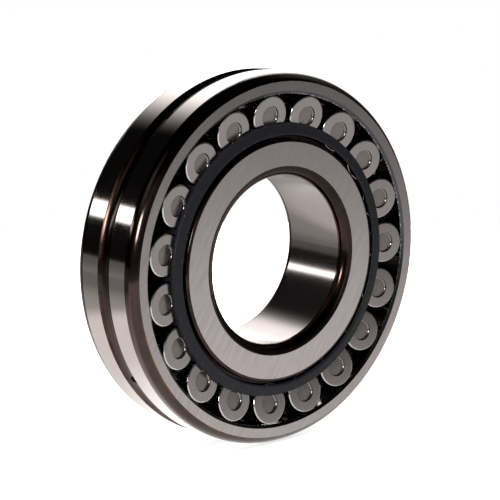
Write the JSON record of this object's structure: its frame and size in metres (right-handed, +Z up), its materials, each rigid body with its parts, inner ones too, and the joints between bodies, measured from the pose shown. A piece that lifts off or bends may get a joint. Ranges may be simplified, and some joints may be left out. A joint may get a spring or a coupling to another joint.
{
  "type": "spherical roller bearing",
  "caption": "Self-aligning double-row roller bearing with barrel rollers, black pressed cages, a floating guide ring and an oil groove round the outer ring.",
  "frame": {"origin": "centre of the bearing: on its axis, halfway between the side faces", "axes": "+Y along the bearing's axis, away from the front face; +Z up, with the bearing upright; +X to the right seen from the front"},
  "size_m": [0.11, 0.027, 0.11],
  "materials": {
    "outer_ring_steel": "ground and polished seats, heat-darkened corners and groove",
    "inner_ring_steel": "fine ground side faces, polished bore, heat-darkened corners",
    "roller_steel": "satin ground ends, polished barrel",
    "cage_black": "black phosphated pressed steel, satin",
    "guide_ring_steel": "fine turned"
  },
  "bodies": {
    "outer_ring": {"outer_ring": "outer_ring_steel"},
    "inner_ring": {"inner_ring": "inner_ring_steel"},
    "guide_ring": {"guide_ring": "guide_ring_steel"},
    "cage_front": {"cage_front": "cage_black"},
    "cage_back": {"cage_back": "cage_black"},
    "roller_front_01": {"roller_front_01": "roller_steel"},
    "roller_front_02": {"roller_front_02": "roller_steel"},
    "roller_front_03": {"roller_front_03": "roller_steel"},
    "roller_front_04": {"roller_front_04": "roller_steel"},
    "roller_front_05": {"roller_front_05": "roller_steel"},
    "roller_front_06": {"roller_front_06": "roller_steel"},
    "roller_front_07": {"roller_front_07": "roller_steel"},
    "roller_front_08": {"roller_front_08": "roller_steel"},
    "roller_front_09": {"roller_front_09": "roller_steel"},
    "roller_front_10": {"roller_front_10": "roller_steel"},
    "roller_front_11": {"roller_front_11": "roller_steel"},
    "roller_front_12": {"roller_front_12": "roller_steel"},
    "roller_front_13": {"roller_front_13": "roller_steel"},
    "roller_front_14": {"roller_front_14": "roller_steel"},
    "roller_front_15": {"roller_front_15": "roller_steel"},
    "roller_front_16": {"roller_front_16": "roller_steel"},
    "roller_front_17": {"roller_front_17": "roller_steel"},
    "roller_front_18": {"roller_front_18": "roller_steel"},
    "roller_front_19": {"roller_front_19": "roller_steel"},
    "roller_back_01": {"roller_back_01": "roller_steel"},
    "roller_back_02": {"roller_back_02": "roller_steel"},
    "roller_back_03": {"roller_back_03": "roller_steel"},
    "roller_back_04": {"roller_back_04": "roller_steel"},
    "roller_back_05": {"roller_back_05": "roller_steel"},
    "roller_back_06": {"roller_back_06": "roller_steel"},
    "roller_back_07": {"roller_back_07": "roller_steel"},
    "roller_back_08": {"roller_back_08": "roller_steel"},
    "roller_back_09": {"roller_back_09": "roller_steel"},
    "roller_back_10": {"roller_back_10": "roller_steel"},
    "roller_back_11": {"roller_back_11": "roller_steel"},
    "roller_back_12": {"roller_back_12": "roller_steel"},
    "roller_back_13": {"roller_back_13": "roller_steel"},
    "roller_back_14": {"roller_back_14": "roller_steel"},
    "roller_back_15": {"roller_back_15": "roller_steel"},
    "roller_back_16": {"roller_back_16": "roller_steel"},
    "roller_back_17": {"roller_back_17": "roller_steel"},
    "roller_back_18": {"roller_back_18": "roller_steel"},
    "roller_back_19": {"roller_back_19": "roller_steel"}
  },
  "joints": [
    {"name": "misalign", "type": "hinge", "parent": "outer_ring", "child": "guide_ring", "pos_m": [0, 0, 0], "axis": [1, 0, 0], "range_deg": [-2, 2]},
    {"name": "inner_spin", "type": "hinge", "parent": "guide_ring", "child": "inner_ring", "pos_m": [0, 0, 0], "axis": [0, 1, 0], "continuous": true},
    {"name": "cage_front_spin", "type": "hinge", "parent": "guide_ring", "child": "cage_front", "pos_m": [0, 0, 0], "axis": [0, 1, 0], "continuous": true},
    {"name": "cage_back_spin", "type": "hinge", "parent": "guide_ring", "child": "cage_back", "pos_m": [0, 0, 0], "axis": [0, 1, 0], "continuous": true},
    {"name": "roller_front_01_spin", "type": "hinge", "parent": "cage_front", "child": "roller_front_01", "pos_m": [0.04358, -0.0069, 0], "axis": [0.1564, 0.9877, 0], "continuous": true},
    {"name": "roller_front_02_spin", "type": "hinge", "parent": "cage_front", "child": "roller_front_02", "pos_m": [0.04122, -0.0069, 0.01415], "axis": [0.148, 0.9877, 0.0508], "continuous": true},
    {"name": "roller_front_03_spin", "type": "hinge", "parent": "cage_front", "child": "roller_front_03", "pos_m": [0.03439, -0.0069, 0.02677], "axis": [0.1234, 0.9877, 0.0961], "continuous": true},
    {"name": "roller_front_04_spin", "type": "hinge", "parent": "cage_front", "child": "roller_front_04", "pos_m": [0.02383, -0.0069, 0.03648], "axis": [0.0856, 0.9877, 0.131], "continuous": true},
    {"name": "roller_front_05_spin", "type": "hinge", "parent": "cage_front", "child": "roller_front_05", "pos_m": [0.0107, -0.0069, 0.04224], "axis": [0.0384, 0.9877, 0.1516], "continuous": true},
    {"name": "roller_front_06_spin", "type": "hinge", "parent": "cage_front", "child": "roller_front_06", "pos_m": [-0.0036, -0.0069, 0.04343], "axis": [-0.0129, 0.9877, 0.1559], "continuous": true},
    {"name": "roller_front_07_spin", "type": "hinge", "parent": "cage_front", "child": "roller_front_07", "pos_m": [-0.0175, -0.0069, 0.03991], "axis": [-0.0628, 0.9877, 0.1433], "continuous": true},
    {"name": "roller_front_08_spin", "type": "hinge", "parent": "cage_front", "child": "roller_front_08", "pos_m": [-0.02951, -0.0069, 0.03206], "axis": [-0.106, 0.9877, 0.1151], "continuous": true},
    {"name": "roller_front_09_spin", "type": "hinge", "parent": "cage_front", "child": "roller_front_09", "pos_m": [-0.03832, -0.0069, 0.02074], "axis": [-0.1376, 0.9877, 0.0745], "continuous": true},
    {"name": "roller_front_10_spin", "type": "hinge", "parent": "cage_front", "child": "roller_front_10", "pos_m": [-0.04298, -0.0069, 0.00717], "axis": [-0.1543, 0.9877, 0.0257], "continuous": true},
    {"name": "roller_front_11_spin", "type": "hinge", "parent": "cage_front", "child": "roller_front_11", "pos_m": [-0.04298, -0.0069, -0.00717], "axis": [-0.1543, 0.9877, -0.0257], "continuous": true},
    {"name": "roller_front_12_spin", "type": "hinge", "parent": "cage_front", "child": "roller_front_12", "pos_m": [-0.03832, -0.0069, -0.02074], "axis": [-0.1376, 0.9877, -0.0745], "continuous": true},
    {"name": "roller_front_13_spin", "type": "hinge", "parent": "cage_front", "child": "roller_front_13", "pos_m": [-0.02951, -0.0069, -0.03206], "axis": [-0.106, 0.9877, -0.1151], "continuous": true},
    {"name": "roller_front_14_spin", "type": "hinge", "parent": "cage_front", "child": "roller_front_14", "pos_m": [-0.0175, -0.0069, -0.03991], "axis": [-0.0628, 0.9877, -0.1433], "continuous": true},
    {"name": "roller_front_15_spin", "type": "hinge", "parent": "cage_front", "child": "roller_front_15", "pos_m": [-0.0036, -0.0069, -0.04343], "axis": [-0.0129, 0.9877, -0.1559], "continuous": true},
    {"name": "roller_front_16_spin", "type": "hinge", "parent": "cage_front", "child": "roller_front_16", "pos_m": [0.0107, -0.0069, -0.04224], "axis": [0.0384, 0.9877, -0.1516], "continuous": true},
    {"name": "roller_front_17_spin", "type": "hinge", "parent": "cage_front", "child": "roller_front_17", "pos_m": [0.02383, -0.0069, -0.03648], "axis": [0.0856, 0.9877, -0.131], "continuous": true},
    {"name": "roller_front_18_spin", "type": "hinge", "parent": "cage_front", "child": "roller_front_18", "pos_m": [0.03439, -0.0069, -0.02677], "axis": [0.1234, 0.9877, -0.0961], "continuous": true},
    {"name": "roller_front_19_spin", "type": "hinge", "parent": "cage_front", "child": "roller_front_19", "pos_m": [0.04122, -0.0069, -0.01415], "axis": [0.148, 0.9877, -0.0508], "continuous": true},
    {"name": "roller_back_01_spin", "type": "hinge", "parent": "cage_back", "child": "roller_back_01", "pos_m": [0.04298, 0.0069, 0.00717], "axis": [-0.1543, 0.9877, -0.0257], "continuous": true},
    {"name": "roller_back_02_spin", "type": "hinge", "parent": "cage_back", "child": "roller_back_02", "pos_m": [0.03832, 0.0069, 0.02074], "axis": [-0.1376, 0.9877, -0.0745], "continuous": true},
    {"name": "roller_back_03_spin", "type": "hinge", "parent": "cage_back", "child": "roller_back_03", "pos_m": [0.02951, 0.0069, 0.03206], "axis": [-0.106, 0.9877, -0.1151], "continuous": true},
    {"name": "roller_back_04_spin", "type": "hinge", "parent": "cage_back", "child": "roller_back_04", "pos_m": [0.0175, 0.0069, 0.03991], "axis": [-0.0628, 0.9877, -0.1433], "continuous": true},
    {"name": "roller_back_05_spin", "type": "hinge", "parent": "cage_back", "child": "roller_back_05", "pos_m": [0.0036, 0.0069, 0.04343], "axis": [-0.0129, 0.9877, -0.1559], "continuous": true},
    {"name": "roller_back_06_spin", "type": "hinge", "parent": "cage_back", "child": "roller_back_06", "pos_m": [-0.0107, 0.0069, 0.04224], "axis": [0.0384, 0.9877, -0.1516], "continuous": true},
    {"name": "roller_back_07_spin", "type": "hinge", "parent": "cage_back", "child": "roller_back_07", "pos_m": [-0.02383, 0.0069, 0.03648], "axis": [0.0856, 0.9877, -0.131], "continuous": true},
    {"name": "roller_back_08_spin", "type": "hinge", "parent": "cage_back", "child": "roller_back_08", "pos_m": [-0.03439, 0.0069, 0.02677], "axis": [0.1234, 0.9877, -0.0961], "continuous": true},
    {"name": "roller_back_09_spin", "type": "hinge", "parent": "cage_back", "child": "roller_back_09", "pos_m": [-0.04122, 0.0069, 0.01415], "axis": [0.148, 0.9877, -0.0508], "continuous": true},
    {"name": "roller_back_10_spin", "type": "hinge", "parent": "cage_back", "child": "roller_back_10", "pos_m": [-0.04358, 0.0069, 0], "axis": [0.1564, 0.9877, 0], "continuous": true},
    {"name": "roller_back_11_spin", "type": "hinge", "parent": "cage_back", "child": "roller_back_11", "pos_m": [-0.04122, 0.0069, -0.01415], "axis": [0.148, 0.9877, 0.0508], "continuous": true},
    {"name": "roller_back_12_spin", "type": "hinge", "parent": "cage_back", "child": "roller_back_12", "pos_m": [-0.03439, 0.0069, -0.02677], "axis": [0.1234, 0.9877, 0.0961], "continuous": true},
    {"name": "roller_back_13_spin", "type": "hinge", "parent": "cage_back", "child": "roller_back_13", "pos_m": [-0.02383, 0.0069, -0.03648], "axis": [0.0856, 0.9877, 0.131], "continuous": true},
    {"name": "roller_back_14_spin", "type": "hinge", "parent": "cage_back", "child": "roller_back_14", "pos_m": [-0.0107, 0.0069, -0.04224], "axis": [0.0384, 0.9877, 0.1516], "continuous": true},
    {"name": "roller_back_15_spin", "type": "hinge", "parent": "cage_back", "child": "roller_back_15", "pos_m": [0.0036, 0.0069, -0.04343], "axis": [-0.0129, 0.9877, 0.1559], "continuous": true},
    {"name": "roller_back_16_spin", "type": "hinge", "parent": "cage_back", "child": "roller_back_16", "pos_m": [0.0175, 0.0069, -0.03991], "axis": [-0.0628, 0.9877, 0.1433], "continuous": true},
    {"name": "roller_back_17_spin", "type": "hinge", "parent": "cage_back", "child": "roller_back_17", "pos_m": [0.02951, 0.0069, -0.03206], "axis": [-0.106, 0.9877, 0.1151], "continuous": true},
    {"name": "roller_back_18_spin", "type": "hinge", "parent": "cage_back", "child": "roller_back_18", "pos_m": [0.03832, 0.0069, -0.02074], "axis": [-0.1376, 0.9877, 0.0745], "continuous": true},
    {"name": "roller_back_19_spin", "type": "hinge", "parent": "cage_back", "child": "roller_back_19", "pos_m": [0.04298, 0.0069, -0.00717], "axis": [-0.1543, 0.9877, 0.0257], "continuous": true}
  ],
  "couplings": [
    {"joint": "cage_front_spin", "follows": "inner_spin", "ratio": 0.42747},
    {"joint": "cage_back_spin", "follows": "inner_spin", "ratio": 0.42747},
    {"joint": "roller_front_01_spin", "follows": "inner_spin", "ratio": -3.3328},
    {"joint": "roller_front_02_spin", "follows": "inner_spin", "ratio": -3.3328},
    {"joint": "roller_front_03_spin", "follows": "inner_spin", "ratio": -3.3328},
    {"joint": "roller_front_04_spin", "follows": "inner_spin", "ratio": -3.3328},
    {"joint": "roller_front_05_spin", "follows": "inner_spin", "ratio": -3.3328},
    {"joint": "roller_front_06_spin", "follows": "inner_spin", "ratio": -3.3328},
    {"joint": "roller_front_07_spin", "follows": "inner_spin", "ratio": -3.3328},
    {"joint": "roller_front_08_spin", "follows": "inner_spin", "ratio": -3.3328},
    {"joint": "roller_front_09_spin", "follows": "inner_spin", "ratio": -3.3328},
    {"joint": "roller_front_10_spin", "follows": "inner_spin", "ratio": -3.3328},
    {"joint": "roller_front_11_spin", "follows": "inner_spin", "ratio": -3.3328},
    {"joint": "roller_front_12_spin", "follows": "inner_spin", "ratio": -3.3328},
    {"joint": "roller_front_13_spin", "follows": "inner_spin", "ratio": -3.3328},
    {"joint": "roller_front_14_spin", "follows": "inner_spin", "ratio": -3.3328},
    {"joint": "roller_front_15_spin", "follows": "inner_spin", "ratio": -3.3328},
    {"joint": "roller_front_16_spin", "follows": "inner_spin", "ratio": -3.3328},
    {"joint": "roller_front_17_spin", "follows": "inner_spin", "ratio": -3.3328},
    {"joint": "roller_front_18_spin", "follows": "inner_spin", "ratio": -3.3328},
    {"joint": "roller_front_19_spin", "follows": "inner_spin", "ratio": -3.3328},
    {"joint": "roller_back_01_spin", "follows": "inner_spin", "ratio": -3.3328},
    {"joint": "roller_back_02_spin", "follows": "inner_spin", "ratio": -3.3328},
    {"joint": "roller_back_03_spin", "follows": "inner_spin", "ratio": -3.3328},
    {"joint": "roller_back_04_spin", "follows": "inner_spin", "ratio": -3.3328},
    {"joint": "roller_back_05_spin", "follows": "inner_spin", "ratio": -3.3328},
    {"joint": "roller_back_06_spin", "follows": "inner_spin", "ratio": -3.3328},
    {"joint": "roller_back_07_spin", "follows": "inner_spin", "ratio": -3.3328},
    {"joint": "roller_back_08_spin", "follows": "inner_spin", "ratio": -3.3328},
    {"joint": "roller_back_09_spin", "follows": "inner_spin", "ratio": -3.3328},
    {"joint": "roller_back_10_spin", "follows": "inner_spin", "ratio": -3.3328},
    {"joint": "roller_back_11_spin", "follows": "inner_spin", "ratio": -3.3328},
    {"joint": "roller_back_12_spin", "follows": "inner_spin", "ratio": -3.3328},
    {"joint": "roller_back_13_spin", "follows": "inner_spin", "ratio": -3.3328},
    {"joint": "roller_back_14_spin", "follows": "inner_spin", "ratio": -3.3328},
    {"joint": "roller_back_15_spin", "follows": "inner_spin", "ratio": -3.3328},
    {"joint": "roller_back_16_spin", "follows": "inner_spin", "ratio": -3.3328},
    {"joint": "roller_back_17_spin", "follows": "inner_spin", "ratio": -3.3328},
    {"joint": "roller_back_18_spin", "follows": "inner_spin", "ratio": -3.3328},
    {"joint": "roller_back_19_spin", "follows": "inner_spin", "ratio": -3.3328}
  ]
}
